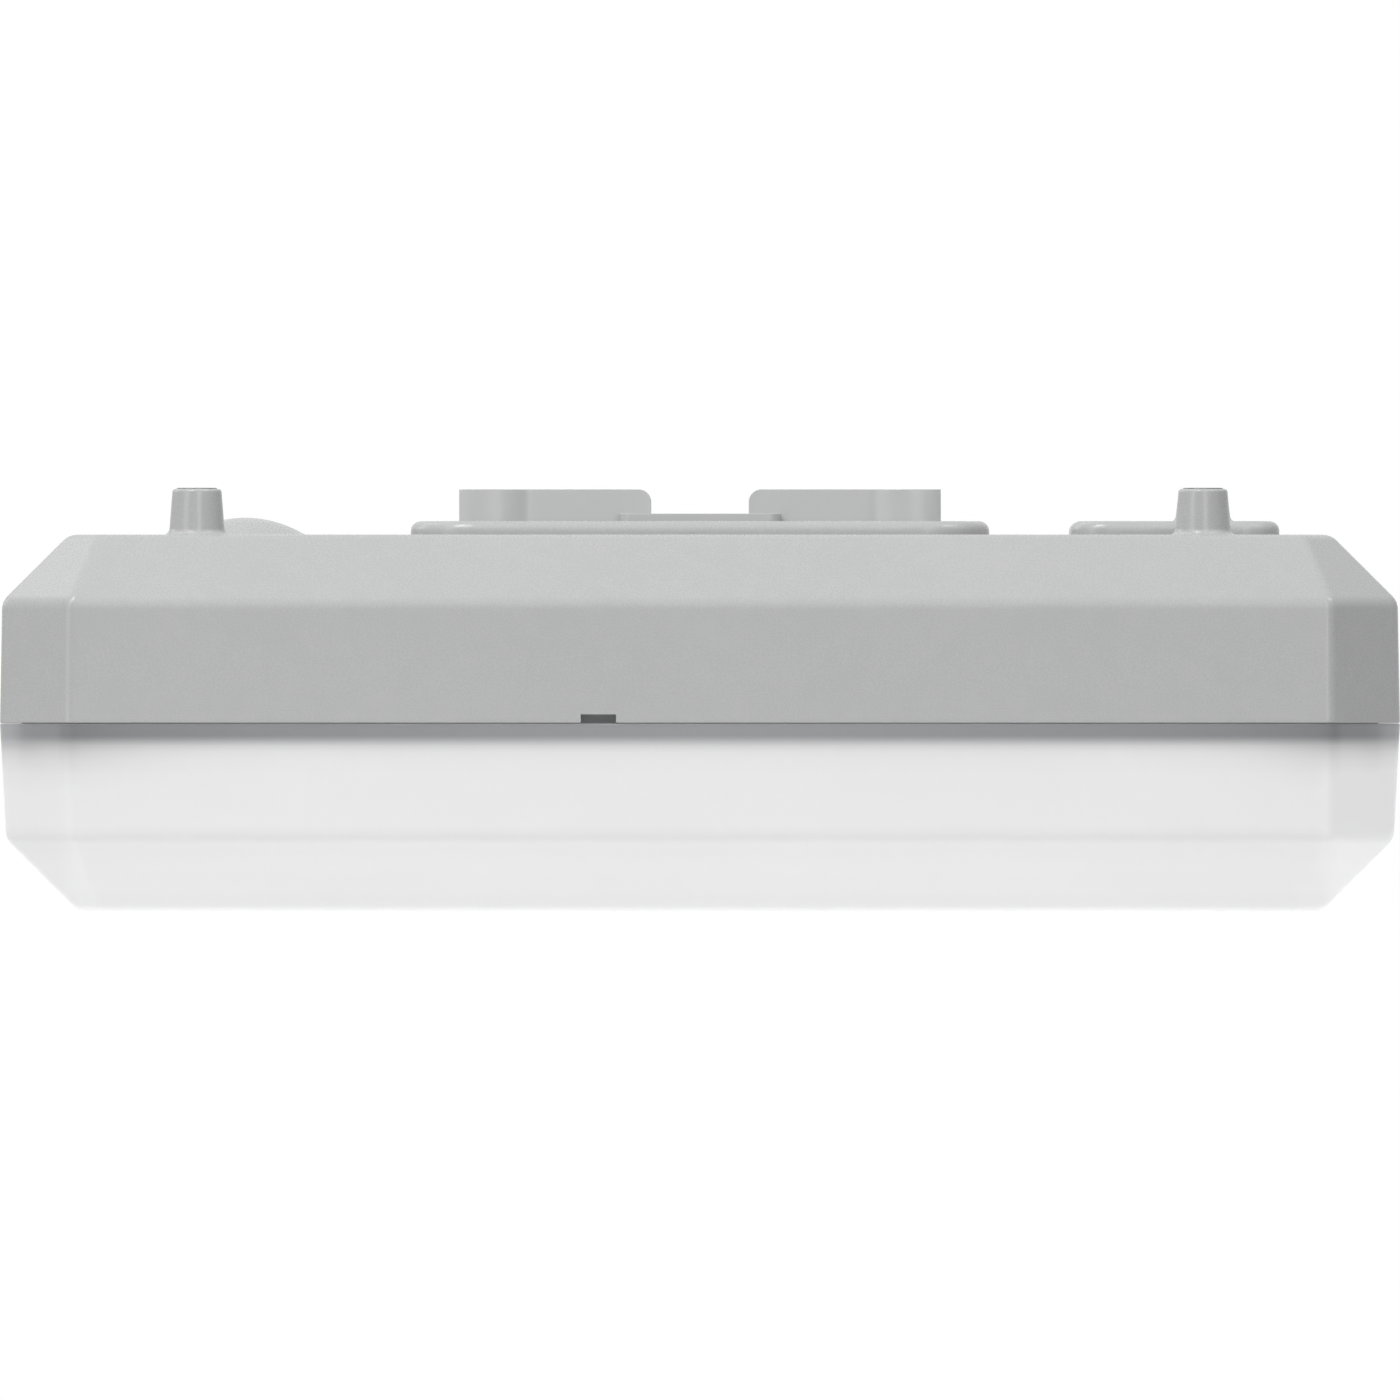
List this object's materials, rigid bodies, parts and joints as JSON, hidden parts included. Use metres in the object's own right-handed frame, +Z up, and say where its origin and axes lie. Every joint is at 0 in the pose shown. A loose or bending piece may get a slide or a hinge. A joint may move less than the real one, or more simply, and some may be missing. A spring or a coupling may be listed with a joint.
{
  "type": "garage door opener",
  "caption": "Ceiling-mounted garage door opener head with a bevelled moulded housing, a frosted light cover, screw posts and a rail seat over a worm-driven output socket.",
  "frame": {"origin": "centre of the light cover's flat underside", "axes": "+X along the long side, +Y to the rear wall with the mains inlet, +Z up to the posts and the rail seat"},
  "size_m": [0.39, 0.19, 0.1181],
  "materials": {
    "casing": "satin moulded, fine grain",
    "lens": "frosted translucent",
    "tray": "moulded",
    "white": "smooth white",
    "dark_plastic": "moulded",
    "rubber": "matt",
    "steel": "zinc plated",
    "zinc": "die cast",
    "bronze": "sintered",
    "brass": "turned",
    "iron": "laminated core with copper winding",
    "nylon": "moulded nylon",
    "board": "solder mask",
    "ferrite": "sintered",
    "coil": "wound and taped",
    "relay": "moulded"
  },
  "bodies": {
    "head": {"top_housing": "casing", "rail_saddle": "casing", "inner_frame": "tray", "reflector_panel": "white", "gearbox_case": "zinc", "gearbox_lid": "zinc", "lower_bush": "bronze", "upper_bush": "bronze", "motor_can": "steel", "motor_end_cap": "dark_plastic", "worm_bush": "bronze", "front_motor_bush": "bronze", "rear_motor_bush": "bronze", "upper_magnet": "ferrite", "lower_magnet": "ferrite", "speed_sensor": "dark_plastic", "transformer_coil": "coil", "transformer_pad": "rubber", "transformer_washer": "steel", "transformer_bolt": "steel", "control_board": "board", "relay_up": "relay", "relay_down": "relay", "fuse_holder": "dark_plastic", "radio_module": "board", "terminal_block": "relay", "smoothing_capacitor": "dark_plastic", "display": "dark_plastic", "control_bezel": "dark_plastic", "led_board_left": "white", "led_board_right": "white", "mains_inlet": "dark_plastic", "cable_grommet": "rubber", "post_insert_1": "zinc", "frame_screw_1": "steel", "gearbox_screw_1": "steel", "post_insert_2": "zinc", "frame_screw_2": "steel", "gearbox_screw_2": "steel", "post_insert_3": "zinc", "frame_screw_3": "steel", "gearbox_screw_3": "steel", "post_insert_4": "zinc", "frame_screw_4": "steel", "gearbox_screw_4": "steel", "key_switch_1": "dark_plastic", "key_switch_2": "dark_plastic", "key_switch_3": "dark_plastic"},
    "light_cover": {"lens_cover": "lens"},
    "output": {"output_shaft": "steel", "worm_wheel": "nylon", "shaft_circlip": "steel"},
    "rotor": {"motor_shaft": "steel", "worm": "steel", "armature": "iron", "commutator": "brass", "encoder_disc": "dark_plastic"},
    "up_key": {"key_1": "white"},
    "set_key": {"key_2": "white"},
    "down_key": {"key_3": "white"}
  },
  "joints": [
    {"name": "light_cover_pull", "type": "slide", "parent": "head", "child": "light_cover", "axis": [0, 0, -1], "range_m": [0, 0.06]},
    {"name": "output_spin", "type": "hinge", "parent": "head", "child": "output", "pos_m": [0, 0, 0.0763], "axis": [0, 0, 1], "continuous": true},
    {"name": "rotor_spin", "type": "hinge", "parent": "head", "child": "rotor", "pos_m": [0, 0.032, 0.0763], "axis": [1, 0, 0], "continuous": true},
    {"name": "up_key_press", "type": "slide", "parent": "head", "child": "up_key", "axis": [0, 0, 1], "range_m": [0, 0.001], "stiffness_N_per_m": 400, "springref_m": -0.001},
    {"name": "set_key_press", "type": "slide", "parent": "head", "child": "set_key", "axis": [0, 0, 1], "range_m": [0, 0.001], "stiffness_N_per_m": 400, "springref_m": -0.001},
    {"name": "down_key_press", "type": "slide", "parent": "head", "child": "down_key", "axis": [0, 0, 1], "range_m": [0, 0.001], "stiffness_N_per_m": 400, "springref_m": -0.001}
  ],
  "couplings": [
    {"joint": "output_spin", "follows": "rotor_spin", "ratio": 0.041667}
  ]
}
